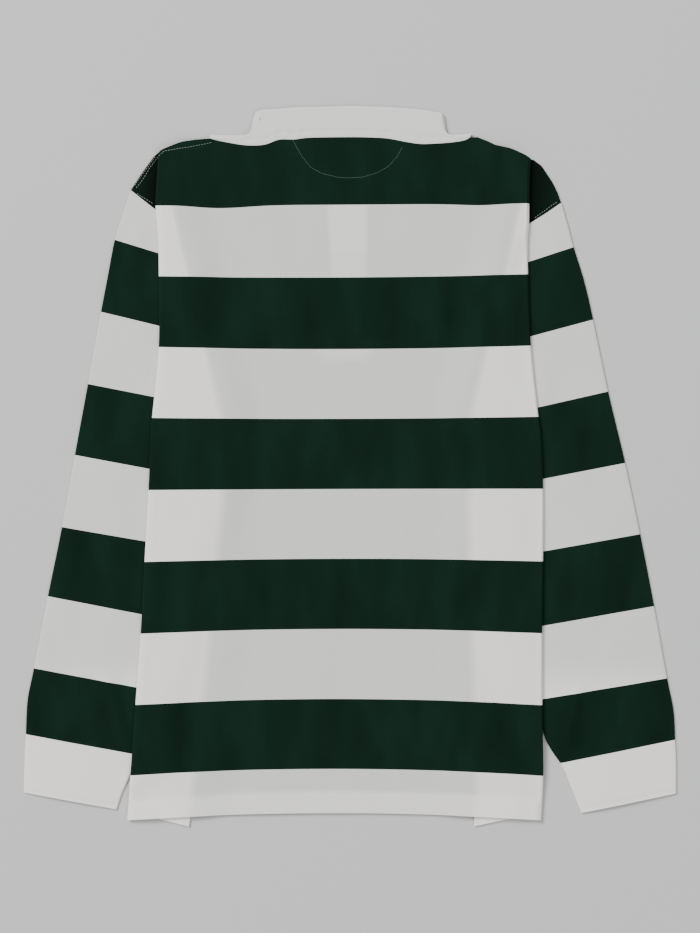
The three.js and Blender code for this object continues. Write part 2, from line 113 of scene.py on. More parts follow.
# Sleeves as rings from the armhole to the cuff seam: folded outer edge, then inner edge.
LEFT_SLEEVE = table("ox oy ix iy", [
    (-235.4, 296.8, -137.6, 33.9), (-245.0, 268.0, -140.5, 23.0), (-252.8, 243.4, -143.0, 14.0),
    (-259.9, 206.5, -146.5, -2.0), (-267.6, 166.1, -150.5, -18.0), (-281.6, 88.7, -160.0, -53.0),
    (-295.6, 12.4, -171.5, -98.0), (-309.5, -65.0, -183.0, -145.0), (-324.6, -139.2, -198.5, -203.0),
    (-339.6, -216.6, -213.0, -261.0), (-346.4, -251.0, -220.0, -287.0), (-348.2, -287.1, -225.7, -309.6),
])
RIGHT_SLEEVE = table("ox oy ix iy", [
    (226.8, 283.2, 128.8, 33.9), (234.4, 258.0, 131.5, 22.0), (240.4, 235.1, 134.0, 13.0),
    (251.3, 200.0, 137.5, -2.0), (261.2, 157.7, 142.0, -20.0), (277.3, 80.6, 151.5, -57.0),
    (295.6, 3.8, 162.5, -102.0), (311.7, -72.5, 174.0, -150.0), (326.7, -149.9, 187.5, -207.0),
    (340.7, -227.3, 203.0, -267.0), (347.5, -262.0, 211.5, -296.0), (349.3, -293.0, 225.7, -318.2),
])
LEFT_CUFF = table("ox oy ix iy", [
    (-348.0, -287.5, -225.9, -310.0), (-349.2, -303.0, -233.5, -327.0), (-349.8, -320.8, -240.6, -341.2),
    (-350.3, -336.0, -246.0, -354.0), (-350.4, -349.8, -250.4, -368.1),
])
RIGHT_CUFF = table("ox oy ix iy", [
    (349.2, -293.4, 225.9, -318.6), (350.2, -308.0, 231.5, -330.0), (350.6, -321.9, 236.5, -343.0),
    (350.6, -337.0, 242.0, -356.0), (350.4, -350.9, 248.3, -371.9),
])

# Soft folds of the body: two ends, half width and height (negative is a trough).
BODY_FOLDS = table("x1 y1 x2 y2 wide high", [
    (137, 351, 136, 305, 7, -1.6),
    (158, 338, 174, 306, 8, -1.2),
    (150, 348, 149, 300, 6, 0.9),
    (-170, 345, -166, 306, 7, 1.1),
    (-154, 350, -150, 312, 8, -0.8),
    (-92, 345, -108, 288, 10, -0.7),
    (92, 346, 108, 286, 10, -0.8),
    (64, 345, 70, 312, 7, -0.5),
    (86, 190, 124, 142, 13, -1.1),
    (112, 206, 150, 160, 15, 0.8),
    (-161, 186, -134, 138, 12, -1.1),
    (-178, 206, -152, 160, 14, 0.8),
    (-154, -100, -150, -180, 10, -0.9),
    (123, -96, 122, -184, 9, -0.9),
    (-170, -254, -178, -330, 11, -0.8),
    (127, -252, 126, -332, 10, -0.8),
    (-60, 100, -20, 20, 22, 0.6),
    (60, -40, 30, -140, 24, 0.6),
    (-90, -200, -40, -290, 22, 0.6),
    (30, 240, 10, 160, 20, 0.5),
    (-20, -120, 20, -220, 26, -0.5),
    (-186, 90, -176, 20, 10, -0.6),
    (176, 90, 168, 10, 10, -0.6),
])
SLEEVE_FOLDS_LEFT = table("x1 y1 x2 y2 wide high", [
    (-262, -228, -240, -298, 6, 2.6),
    (-286, -232, -262, -300, 9, -1.3),
    (-246, -226, -232, -280, 6, -1.2),
    (-318, -235, -300, -296, 8, 1.8),
    (-334, -240, -326, -286, 7, -0.8),
    (-224, 262, -246, 190, 9, 0.8),
    (-240, 120, -226, 40, 10, -0.7),
    (-280, 40, -250, -30, 14, 0.7),
    (-262, -90, -240, -170, 12, 0.8),
    (-300, -110, -280, -190, 13, -0.7),
])
SLEEVE_FOLDS_RIGHT = table("x1 y1 x2 y2 wide high", [
    (246, -238, 232, -300, 6, 2.4),
    (270, -236, 252, -306, 9, -1.2),
    (298, -240, 286, -304, 8, 1.7),
    (324, -244, 316, -296, 8, -0.8),
    (212, 252, 234, 180, 9, 0.8),
    (226, 110, 216, 30, 10, -0.7),
    (268, 40, 240, -30, 14, 0.7),
    (252, -90, 232, -170, 12, 0.8),
    (292, -110, 270, -190, 13, -0.7),
])

# ------------------------------------------------------------------ small sums


def smooth(share):
    share = np.clip(share, 0, 1)
    return share * share * (3 - 2 * share)


def spline(names, rows, share):
    """Values of a table's columns at a share of its length, on a smooth curve through its rows."""
    count = len(rows[names[0]])
    place = np.clip(share, 0, 1) * (count - 1)
    i = np.minimum(place.astype(int), count - 2)
    t = place - i
    out = {}
    for name in names:
        column = rows[name]
        before = column[np.maximum(i - 1, 0)]
        after = column[np.minimum(i + 2, count - 1)]
        a, b = column[i], column[i + 1]
        out[name] = a + 0.5 * t * (b - before + t * (2 * before - 5 * a + 4 * b - after
                                                     + t * (3 * (a - b) + after - before)))
    return out


def folds(rows, x, y):
    """Height of soft troughs and ridges at each point."""
    height = np.zeros_like(x)
    for x1, y1, x2, y2, wide, high in zip(*(rows[name] for name in ("x1", "y1", "x2", "y2", "wide", "high"))):
        length = math.hypot(x2 - x1, y2 - y1)
        ux, uy = (x2 - x1) / length, (y2 - y1) / length
        along = ((x - x1) * ux + (y - y1) * uy) / length
        across = (x - x1) * uy - (y - y1) * ux + 0.12 * wide * np.sin(along * 5)
        ends = smooth((along + 0.25) / 0.45) * smooth((1.25 - along) / 0.45)
        height += high * ends * np.exp(-(across / wide) ** 2)
    return height


def waver(x, y):
    """Slow unevenness of cloth smoothed out by hand."""
    slow = 0.34 * np.sin(x / 31 + 0.7 * np.sin(y / 57)) * np.sin(y / 43 + 1.3)
    quick = 0.15 * np.sin(x / 13.5 + y / 22 + 2.1) * np.sin(y / 17 - x / 41)
    return slow + quick


# ------------------------------------------------------------------ meshes


CREASE_ANGLE = 50              # edges sharper than this stay crisp


def cloth_piece(name, face, back, material, fields, closed=False):
    """A closed wall between two grids of points in millimetres. fields holds, for each grid
    point, the place across the cloth, the place in hoops and how light or dark it looks."""
    rows, columns = face.shape[:2]
    points = np.concatenate([face.reshape(-1, 3), back.reshape(-1, 3)]) * MM
    points[:, 2] = np.maximum(points[:, 2], 0)
    size = rows * columns
    spans = columns if closed else columns - 1
    faces = []
    for i in range(rows - 1):
        for j in range(spans):
            k = (j + 1) % columns
            a, b, c, d = i * columns + j, i * columns + k, (i + 1) * columns + k, (i + 1) * columns + j
            faces.append((a, b, c, d))
            faces.append((a + size, d + size, c + size, b + size))
            if i == 0:
                faces.append((b, a, a + size, b + size))
            if i == rows - 2:
                faces.append((d, c, c + size, d + size))
            if not closed and j == 0:
                faces.append((a, d, d + size, a + size))
            if not closed and j == spans - 1:
                faces.append((c, b, b + size, c + size))
    mesh = bpy.data.meshes.new(name)
    mesh.from_pydata(points.tolist(), [], faces)
    values = np.concatenate([fields.reshape(-1, 3), fields.reshape(-1, 3)])
    layer = mesh.attributes.new("cloth", "FLOAT_VECTOR", "POINT")
    layer.data.foreach_set("vector", values.astype(np.float32).ravel())
    mesh.materials.append(material)
    mesh.polygons.foreach_set("use_smooth", [True] * len(mesh.polygons))
    mesh.update()
    piece = bpy.data.objects.new(name, mesh)
    bpy.context.scene.collection.objects.link(piece)
    pressed = bmesh.new()
    pressed.from_mesh(mesh)
    bmesh.ops.recalc_face_normals(pressed, faces=pressed.faces)
    sharp = math.radians(CREASE_ANGLE)
    for edge in pressed.edges:
        edge.smooth = len(edge.link_faces) != 2 or edge.calc_face_angle(0) < sharp
    pressed.to_mesh(mesh)
    pressed.free()
    return piece


# ------------------------------------------------------------------ body


def shoulder_height(x):
    """Height of the shoulder line above the middle of the shirt."""
    return np.interp(x, SHOULDER["x"], SHOULDER["y"])


def body_rows(count):
    """Levels of the body from hem to shoulders."""
    share = np.linspace(0, 1, count)
    return spline(tuple(BODY), BODY, share)


def row_height(row, x):
    """How high up the shirt a level of the back lies at a place across."""
    share = (x - row["cl"]) / (row["cr"] - row["cl"])
    bow = row["bow"] * (1 - (2 * share - 1) ** 2)
    ends = shoulder_height(row["cl"]) * (1 - share) + shoulder_height(row["cr"]) * share
    level = row["yl"] + (row["yr"] - row["yl"]) * np.clip(share, 0, 1)
    return level + bow + row["rise"] * (shoulder_height(x) - ends)


NECK_X = -2                    # middle of the neckline
NECK_HALF = 104                # half its width
NECK_DROP = 92                 # how far the front dips below the back
NECK_FOOT = 203.7              # the dip starts here and is whole at NECK_TOP
NECK_TOP = 338.0


def front_height(row, x):
    """The same for the front, whose top dips into the neckline."""
    share = np.clip((row["yl"] - NECK_FOOT) / (NECK_TOP - NECK_FOOT), 0, 1)
    across = np.clip((x - NECK_X) / NECK_HALF, -1, 1)
    return row_height(row, x) - share * NECK_DROP * np.sqrt(1 - across ** 2)


COLLAR_BED_Y = 290             # middle of the place where the back lies on the front of the collar
COLLAR_BED_ACROSS = 190
COLLAR_BED_ALONG = 140
COLLAR_BED_EDGE = 0.1


def collar_rise(x, y):
    """How far the front of the collar lifts the body that lies on it."""
    reach = np.hypot(x / COLLAR_BED_ACROSS, (y - COLLAR_BED_Y) / COLLAR_BED_ALONG)
    return LAYER * (1 - smooth((reach - 1) / COLLAR_BED_EDGE))


def side_rise(row, inward, under, tuck):
    """How far the sleeve and the turned-under side lift the body near a crease."""
    over_sleeve = 1 - smooth((inward - row[under]) / DRAPE)
    over_tuck = 1 - smooth((inward - row[tuck] - 2) / DRAPE)
    return PAIR * over_sleeve, PAIR * over_tuck


def top_rise(row, x, y):
    """Everything that lifts the body at a point."""
    left = side_rise(row, x - row["cl"], "ul", "tl")
    right = side_rise(row, row["cr"] - x, "ur", "tr")
    return left[0] + left[1] + right[0] + right[1] + collar_rise(x, y)


def middle_share(row, x):
    """0 at the creases and 1 well inside them, where the cloth is free to ripple."""
    near = np.minimum(x - row["cl"], row["cr"] - x)
    return smooth((near - FOLD) / 26)


def body_hoops(x, y):
    """Place in hoops: whole numbers are the edges between them."""
    share = (x + 206) / 400
    edges = []
    for left, middle, right in zip(BACK_HOOPS["left"], BACK_HOOPS["middle"], BACK_HOOPS["right"]):
        u = 2 * share - 1
        edges.append(middle + (right - left) / 2 * u + ((left + right) / 2 - middle) * u * u)
    edges[0] = edges[0] - 3.0 * np.exp(-((x + 138) / 40) ** 2) - 1.4 * np.exp(-((x - 140) / 30) ** 2)
    place = (edges[0] - y) / HOOP
    for i in range(1, len(edges)):
        inside = y <= edges[i - 1]
        place = np.where(inside, i - 1 + (edges[i - 1] - y) / (edges[i - 1] - edges[i]), place)
    beyond = y < edges[-1]
    place = np.where(beyond, len(edges) - 1 + (edges[-1] - y) / HOOP, place)
    return place


def show_through_and_painted_highlight(x, y, row):
    """How much lighter the cloth looks over the turned-under sides, the front placket and hem, with a painted
    highlight along the creases.
    """
    from_crease = np.minimum(x - row["cl"], row["cr"] - x)
    inward = np.minimum((x - row["cl"]) - row["tl"], (row["cr"] - x) - row["tr"])
    sides = 0.78 * (1 - smooth((inward + 3) / 5))
    # Painted highlight where the rounded creases catch the light.
    painted_crease_highlight = 0.22 * (1 - smooth((from_crease - 4) / 5))
    wide = 0.5 * smooth((21 - abs(x + 2.5)) / 2) * smooth((y - 229) / 2) * smooth((282 - y) / 3)
    narrow = 0.35 * smooth((20 - abs(x + 1)) / 2) * smooth((232 - y) / 2) * smooth((y - 150) / 8)
    hem = 0.6 * smooth((22 - (y - row["hem"])) / 1.5)
    foot = 0.3 * smooth((1 - np.hypot((x + 6) / 37, (y - 136) / 25)) * 8) * (y < 136)
    return np.clip(sides + painted_crease_highlight + wide + narrow + foot + hem, 0, 1)


HEM_DEPTH = 22                 # turned-up hem
HEM_STEP = 0.55                # its extra thickness
HEM_PEEK = 11


def body_grid(nested, count, flat_steps, drape_steps, middle_steps, fold_steps):
    """Both faces of a body panel, from the edge turned under on the left, over the back to
    the edge turned under on the right."""
    height = front_height if nested else row_height
    rows = body_rows(count)
    face, back, fields = [], [], []
    for i in range(count):
        row = {name: float(values[i]) for name, values in rows.items()}
        hem_row = {column: float(BODY[column][0]) for column in BODY}
        left = np.concatenate([
            np.linspace(FOLD, row["tl"], flat_steps, endpoint=False),
            row["tl"] + DRAPE * np.linspace(0, 1, drape_steps)])
        right = np.concatenate([
            np.linspace(FOLD, row["tr"], flat_steps, endpoint=False),
            row["tr"] + DRAPE * np.linspace(0, 1, drape_steps)])
        start, stop = row["cl"] + left[-1], row["cr"] - right[-1]
        middle = np.linspace(start, stop, middle_steps + 2)[1:-1]
        x_top = np.concatenate([row["cl"] + left, middle, (row["cr"] - right)[::-1]])
        y_top = height(row, x_top)
        rise = top_rise(row, x_top, y_top) + (0 if nested else LAYER)
        free = middle_share(row, x_top)
        loft = 0.25 if nested else LOFT
        ripple = (folds(BODY_FOLDS, x_top, y_top) + waver(x_top, y_top)) * free
        z_top = rise + np.maximum(loft * free + ripple, -0.15 if nested else -0.1)
        z_top = np.maximum(z_top, 0)
        near_hem = smooth((HEM_DEPTH - (y_top - row_height(hem_row, x_top))) / 1.5)
        thick = CLOTH + HEM_STEP * near_hem
        upper = np.stack([x_top, y_top, z_top + thick], 1)
        lower = np.stack([x_top, y_top, z_top], 1)

        sides = {}
        for side, crease, tuck, under, out in (("l", "cl", "tl", "ul", -1), ("r", "cr", "tr", "ur", 1)):
            outer = FOLD - nested * LAYER
            centre = row[crease] - out * FOLD
            base = PAIR * (1 - smooth((FOLD - row[under]) / DRAPE))
            angle = math.pi / 2 - math.pi * np.arange(1, fold_steps) / fold_steps
            arc_x = centre + out * outer * np.cos(angle)
            arc_y = height(row, arc_x)
            arc_out = np.stack([arc_x, arc_y, base + FOLD + outer * np.sin(angle)], 1)
            inner = outer - CLOTH
            in_x = centre + out * inner * np.cos(angle)
            arc_in = np.stack([in_x, height(row, in_x), base + FOLD + inner * np.sin(angle)], 1)
            inward = np.linspace(FOLD, row[tuck], flat_steps)
            tuck_x = row[crease] - out * inward
            peek = HEM_PEEK * np.clip((inward - 30) / max(row[tuck] - 30, 10), 0, 1)
            peek = peek * smooth(1 - i / (count * 0.06))
            tuck_y = height(row, tuck_x) - peek
            tuck_z = PAIR * (1 - smooth((inward - row[under]) / DRAPE)) + nested * LAYER
            tuck_out = np.stack([tuck_x, tuck_y, tuck_z], 1)
            tuck_in = np.stack([tuck_x, tuck_y, tuck_z + CLOTH], 1)
            sides[side] = (np.concatenate([arc_out, tuck_out]), np.concatenate([arc_in, tuck_in]))
        left_out, left_in = sides["l"]
        right_out, right_in = sides["r"]
        face.append(np.concatenate([left_out[::-1], upper, right_out]))
        back.append(np.concatenate([left_in[::-1], lower, right_in]))
        section = face[-1]
        step = np.hypot(np.diff(section[:, 0]), np.diff(section[:, 2]))
        across = np.concatenate([[0], np.cumsum(step)])
        across -= across[len(across) // 2]
        hoops = body_hoops(section[:, 0], section[:, 1])
        row["hem"] = row_height(hem_row, section[:, 0])
        shade = show_through_and_painted_highlight(section[:, 0], section[:, 1], row)
        fields.append(np.stack([across * MM, hoops, shade], 1))
    return np.array(face), np.array(back), np.array(fields)


def shoulder_end(side, nested, count=25, across_steps=14):
    """The panel's shoulder end, which shows beyond the crease and runs to the armhole. Its green is painted
    in shade, darkest at the crease.
    """
    out = -1 if side == "l" else 1
    edge = {
        "l": ([275.7, 285.4, 296.8, 309.5, 320.8, 332.6, 338.0],
              [-208.3, -221.2, -235.6, -227.4, -219.6, -211.0, -205.0]),
        "r": ([260.6, 271.4, 283.2, 294.5, 305.8, 323.0, 329.4],
              [192.6, 209.8, 226.8, 222.8, 217.2, 205.8, 197.2]),
    }[side]
    inside = {"l": -196.0, "r": 182.0}[side]
    crease = {"l": -207.0, "r": 192.0}[side]
    heights = np.interp(np.linspace(0, len(edge[0]) - 1, count), np.arange(len(edge[0])), edge[0])
    face, back, fields = [], [], []
    for y in heights:
        end = np.interp(y, edge[0], edge[1]) - out * 0.15
        x = np.linspace(inside, end, across_steps)
        if out < 0:
            x = x[::-1]
        roll = smooth((end - x) * out / 2.4)
        puff = 0.5 * np.sin(np.clip((x - inside) / (end - inside), 0, 1) * math.pi) ** 2
        floor = 0 if nested else LAYER
        z = floor + (puff + CLOTH * (0.35 + 0.65 * roll)) * np.ones_like(x)
        yy = np.full_like(x, y)
        face.append(np.stack([x, yy, z], 1))
        back.append(np.stack([x, yy, np.full_like(x, floor)], 1))
        # Painted shade: the green is darkened fully inside the crease and less towards the outer edge.
        beyond = (x * out - abs(crease)) / (abs(edge[1][2]) - abs(crease))
        painted_shade = -1 + 0.75 * smooth(beyond)
        fields.append(np.stack([x * MM, np.full_like(x, -0.5), painted_shade], 1))
    return np.array(face), np.array(back), np.array(fields)


# ------------------------------------------------------------------ sleeves and cuffs

HALF_TUBE = CLOTH + AIR / 2     # half the thickness of a sleeve pressed flat
ARMHOLE = {
    -1: ([0, 0.1, 0.2, 1], [-235.4, -221.4, -208.8, -137.9], [296.4, 285.1, 275.4, 33.6]),
    1: ([0, 0.1, 0.2, 1], [227.1, 209.9, 192.7, 129.1], [282.9, 271.1, 260.3, 33.6]),
}


def sleeve_hoops(rows, x, y):
    """Place in hoops down a sleeve: whole numbers are the edges between them."""
    edges = [rows["y"][k] + rows["slope"][k] * (x - rows["x"][k]) for k in range(len(rows["x"]))]
    place = 1 + (edges[0] - y) / HOOP
    for k in range(1, len(edges)):
        place = np.where(y <= edges[k - 1], k + (edges[k - 1] - y) / (edges[k - 1] - edges[k]), place)
    return np.where(y < edges[-1], len(edges) + (edges[-1] - y) / HOOP, place)


def flat_tube(rows, out, count, steps, fold_steps, fold_rows, hoops, puff, armhole=False, furrow=None):
    """Both faces of a tube of cloth pressed flat, ring by ring from the shoulder down."""
    names = ("ox", "oy", "ix", "iy")
    plan = spline(names, rows, np.linspace(0, 1, count))
    face, back, fields = [], [], []
    shares = smooth(np.linspace(0, 1, steps)) * 0.4 + np.linspace(0, 1, steps) * 0.6
    for i in range(count):
        ox, oy, ix, iy = (plan[name][i] for name in names)
        length = math.hypot(ix - ox, iy - oy)
        ux, uy = (ix - ox) / length, (iy - oy) / length
        inset = HALF_TUBE / length
        spread = inset + shares * (1 - 2 * inset)
        x = ox + (ix - ox) * spread
        y = oy + (iy - oy) * spread
        if armhole and i < count * 0.12:
            bend = smooth(1 - i / (count * 0.12))
            s, ax, ay = ARMHOLE[out]
            x = x + bend * (np.interp(spread, s, ax) - (ax[0] + (ax[-1] - ax[0]) * spread))
            y = y + bend * (np.interp(spread, s, ay) - (ay[0] + (ay[-1] - ay[0]) * spread))
        rounded = np.sin(np.clip(spread, 0, 1) * math.pi) ** 0.6
        ripple = folds(fold_rows, x, y) + waver(x + 90, y - 40)
        upper = puff * rounded + ripple * smooth(np.minimum(spread, 1 - spread) * 9)
        upper = np.maximum(upper, -0.1)
        if furrow is not None:
            gap = abs(i / (count - 1) - furrow)
            upper = upper - 0.5 * math.exp(-(gap * (count - 1) / 1.2) ** 2)
        angle = math.pi / 2 - math.pi * np.arange(1, fold_steps) / fold_steps

        def ring(radius, lift):
            up = np.stack([x, y, HALF_TUBE + radius + lift], 1)
            down = np.stack([x, y, np.full_like(x, HALF_TUBE - radius)], 1)[::-1]
            inner = (length - HALF_TUBE + radius * np.cos(angle))
            outer = (HALF_TUBE - radius * np.cos(angle))[::-1]
            turn_in = np.stack([ox + ux * inner, oy + uy * inner, HALF_TUBE + radius * np.sin(angle)], 1)
            turn_out = np.stack([ox + ux * outer, oy + uy * outer, HALF_TUBE - radius * np.sin(angle)], 1)
            if armhole and i < count * 0.12:
                shift = bend * 0.3
                turn_in[:, 0] += out * shift
                turn_out[:, 0] += out * shift
            return np.concatenate([up, turn_in, down, turn_out])

        face.append(ring(HALF_TUBE, upper))
        back.append(ring(CORE, np.maximum(upper, 0)))
        section = face[-1]
        step = np.linalg.norm(np.diff(section, axis=0), axis=1)
        across = np.concatenate([[0], np.cumsum(step)])
        place = hoops(section[:, 0], section[:, 1])
        # Painted light: the sleeve's white is a little lighter everywhere and much lighter towards the cuff.
        painted_cuff_light = 0.15 + 0.75 * smooth((-200 - section[:, 1]) / 60)
        fields.append(np.stack([across * MM, place, painted_cuff_light], 1))
    return np.array(face), np.array(back), np.array(fields)


# ------------------------------------------------------------------ collar

# Sections round the collar from one front end to the other: how far it has turned over, then its
# neck seam, folded top, middle of the fall and outer edge.
COLLAR = table("turn sx sy fx fy mx my ex ey", [
    (180, -5, 268, -5, 293, -18, 262, -40, 203),
    (180, -25, 270, -20, 295, -38, 250, -55, 208),
    (180, -59, 283.5, -46, 305, -68, 268, -95, 238),
    (180, -92, 316, -71, 327, -97, 305, -130, 275),
    (180, -100, 343, -88, 354, -106, 342, -147, 325),
    (180, -102, 352, -97, 368, -106.5, 352, -149.5, 350),
    (135, -104, 358.5, -100, 376, -107.5, 354.9, -150.5, 353.8),
    (90, -104, 358.5, -100, 376.5, -107.5, 355.1, -150.5, 354.2),
    (45, -104, 358.5, -99.2, 380.2, -107.5, 355.3, -150.5, 354.4),
    (0, -101, 358.5, -97.4, 382.2, -107.0, 356.2, -149.5, 351.8),
    (0, -98, 358, -94.6, 383.2, -104.5, 360, -134.5, 348.2),
    (0, -90, 358, -91.4, 383.6, -101, 364, -111.8, 344.6),
    (0, -80, 358.5, -82, 384.2, -88, 366, -92, 345.2),
    (0, -70, 359, -69.9, 385, -75, 368, -76, 350.6),
    (0, -55, 359.5, -54, 386.2, -57, 369, -60, 350.8),
    (0, -38, 360, -37.6, 386.4, -40, 370, -43, 352.7),
    (0, 0, 360.5, 0, 387.5, 0, 370, 0, 353.3),
    (0, 20, 360.3, 20, 387, 20, 370, 24, 352.9),
    (0, 38, 360, 37.6, 386.4, 39, 370, 40.8, 351.8),
    (0, 55, 359.5, 55, 385.4, 57, 368, 58, 348.6),
    (0, 68, 359, 69.9, 384.2, 72, 366, 75.2, 346),
    (0, 80, 358.8, 84, 382.6, 88, 364.5, 92, 346.4),
    (0, 88, 358.5, 93.5, 380.8, 99, 363, 106, 347.4),
    (0, 96, 358.5, 95.8, 381.0, 102, 359.5, 121, 349.4),
    (0, 98.5, 359, 97, 380.2, 104, 356.6, 128, 352.6),
    (45, 100.5, 359.5, 97.6, 379.0, 104.3, 355.5, 130, 355.8),
    (90, 100.5, 359.5, 97.8, 377, 104.3, 355.3, 130, 355.6),
    (135, 100.5, 359.5, 98, 376.5, 104.3, 355.1, 130, 355.4),
    (180, 99, 352, 95, 368, 104, 353, 129.5, 350.5),
    (180, 97, 343, 85, 354, 103, 342, 127, 325),
    (180, 88, 316, 67, 327, 93, 305, 122, 275),
    (180, 55, 283.5, 42, 305, 64, 268, 91, 238),
    (180, 21, 270, 16, 295, 34, 250, 51, 208),
    (180, 1, 268, 1, 293, 14, 262, 36, 203),
])
FALL_OUT = CORE + LAYER + CLOTH
FALL_IN = CORE + LAYER
STAND_OUT = CORE + CLOTH
TOPSTITCH_IN = 7.0             # collar topstitching, in from the fall's edge


def collar_grid(count=230, leaf_steps=26, turn_steps=8, stand_steps=6):
    names = tuple(COLLAR)
    rows = spline(names, COLLAR, np.linspace(0, 1, count))
    face, back, fields = [], [], []
    for i in range(count):
        row = {name: float(rows[name][i]) for name in names}
        turn = math.radians(min(max(row["turn"], 0), 180))
        side = math.copysign(1, row["fx"])
        edge = np.array([row["ex"], row["ey"]])
        mid = np.array([row["mx"], row["my"]])
        fold = np.array([row["fx"], row["fy"]])
        seam = np.array([row["sx"], row["sy"]])
        crown = (fold - seam) / np.linalg.norm(fold - seam)
        below = fold - crown * FALL_OUT
        share = np.linspace(0, 1, leaf_steps)[:, None]
        grip = 1 + 2.5 * float(smooth(turn / math.radians(45)))
        pull = ((2 + 2 * grip) * mid - edge - below) / (2 * grip)
        parts = (1 - share) ** 2, 2 * grip * share * (1 - share), share ** 2
        bent = (parts[0] * edge + parts[1] * pull + parts[2] * below) / sum(parts)
        run = np.gradient(bent, axis=0)
        run /= np.linalg.norm(run, axis=1)[:, None]
        outward = np.stack([run[:, 1], -run[:, 0]], 1) * -side
        reach = np.linalg.norm(bent - edge, axis=1)
        furrow = -0.6 * np.exp(-((reach - TOPSTITCH_IN) / 1.1) ** 2)
        lip = -0.25 * np.exp(-(reach / 0.9) ** 2)
        gathered = np.exp(-((reach - TOPSTITCH_IN) / 4.5) ** 2)
        pucker = 0.28 * math.sin(i * 0.9 + 2 * math.sin(i * 0.13)) * gathered
        swell = 0.35 * np.sin(np.clip(reach / 30, 0, 1) * math.pi)
        bump = (furrow + lip + pucker + swell) * abs(math.cos(turn))
        stand = below + (seam - below) * np.linspace(0, 1, stand_steps)[:, None]
        angle = math.pi / 2 - math.pi * np.arange(1, turn_steps) / turn_steps

        def place(plan, out_dir, radius, lift=0.0):
            turned = (radius * math.sin(turn) - FALL_OUT) * float(smooth(math.sin(turn) / 0.7))
            xy = plan + out_dir * turned
            z = FOLD + (radius + lift) * math.cos(turn)
            return np.column_stack([xy, np.broadcast_to(z, (len(xy),))])

        def around(fall_radius, stand_radius, lift):
            leaf = place(bent, outward, fall_radius, lift)
            half = (fall_radius - stand_radius) / 2
            centre = (fall_radius + stand_radius) / 2
            widen = 0.8 * (FALL_OUT / half if half > CLOTH else 1)
            plan = below + crown * (half * np.cos(angle))[:, None] * widen
            radius = centre + half * np.sin(angle)
            bend = np.array([place(p[None], outward[-1:], r, lift[-1])[0] for p, r in zip(plan, radius)])
            inside = place(stand, np.repeat(outward[-1:], len(stand), 0), stand_radius)
            return np.concatenate([leaf, bend, inside])

        face.append(around(FALL_OUT, CORE, bump))
        back.append(around(FALL_IN, STAND_OUT, np.zeros(leaf_steps)))
        section = face[-1]
        step = np.linalg.norm(np.diff(section, axis=0), axis=1)
        down = np.concatenate([[0], np.cumsum(step)])
        fields.append(np.stack([np.full_like(down, i * 1.2 * MM), down / HOOP, np.zeros_like(down)], 1))
    return np.array(face), np.array(back), np.array(fields)


# ------------------------------------------------------------------ stitches


def stitch_row(name, points, material, pitch=3.0, length=2.0, thick=0.45, on=()):
    """A row of short threads laid on cloth along a line of plan points."""
    line = np.array(points, float)
    steps = np.hypot(*np.diff(line, axis=0).T)
    run = np.concatenate([[0], np.cumsum(steps)])
    count = int(run[-1] / pitch)
    vertices, faces = [], []
    sides = 6
    for k in range(count):
        start = k * pitch + (pitch - length) / 2
        ends = []
        for s in np.linspace(start, start + length, 4):
            x = np.interp(s, run, line[:, 0])
            y = np.interp(s, run, line[:, 1])
            z = max(height_on(piece, x, y) for piece in on)
            ends.append(np.array([x, y, z]))
        way = ends[-1] - ends[0]
        way /= np.linalg.norm(way)
        flat = np.cross([0, 0, 1], way)
        flat /= np.linalg.norm(flat)
        first = len(vertices)
        for q, centre in enumerate(ends):
            radius = thick / 2 * (0.55 if q in (0, 3) else 1)
            sink = 0.12 if q in (0, 3) else 0
            for a in range(sides):
                angle = 2 * math.pi * a / sides
                lift = np.array([0, 0, 1]) * (math.sin(angle) * radius + 0.05 - sink)
                vertices.append((centre + flat * math.cos(angle) * radius + lift) * MM)
        for q in range(len(ends) - 1):
            for a in range(sides):
                b = (a + 1) % sides
                faces.append((first + q * sides + a, first + (q + 1) * sides + a,
                              first + (q + 1) * sides + b, first + q * sides + b))
        faces.append(tuple(first + a for a in range(sides)))
        faces.append(tuple(first + (len(ends) - 1) * sides + a for a in reversed(range(sides))))
    mesh = bpy.data.meshes.new(name)
    mesh.from_pydata([tuple(v) for v in vertices], [], faces)
    mesh.materials.append(material)
    mesh.polygons.foreach_set("use_smooth", [True] * len(mesh.polygons))
    mesh.update()
    row = bpy.data.objects.new(name, mesh)
    bpy.context.scene.collection.objects.link(row)
    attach(row, "root")
    return row


def height_on(piece, x, y):
    """Height of a piece at a point, found by looking down at it."""
    found, place, _, _ = piece.ray_cast(Vector((x * MM, y * MM, 0.1)), Vector((0, 0, -1)))
    return place.z / MM if found else 0.0


# ------------------------------------------------------------------ materials


def linear(hex_colour):
    """A colour written as sRGB hex, as the linear values that a shader takes."""
    value = hex_colour.lstrip("#")
    parts = [int(value[i:i + 2], 16) / 255 for i in (0, 2, 4)]
    return tuple(c / 12.92 if c <= 0.04045 else ((c + 0.055) / 1.055) ** 2.4 for c in parts) + (1.0,)


def add(tree, kind, sockets=None, **settings):
    """Adds a node, sets its properties, and fills each socket with a value or a link."""
    node = tree.nodes.new(kind)
    for name, value in settings.items():
        setattr(node, name, value)
    for socket, value in (sockets or {}).items():
        if isinstance(value, bpy.types.NodeSocket):
            tree.links.new(value, node.inputs[socket])
        else:
            node.inputs[socket].default_value = value
    return node


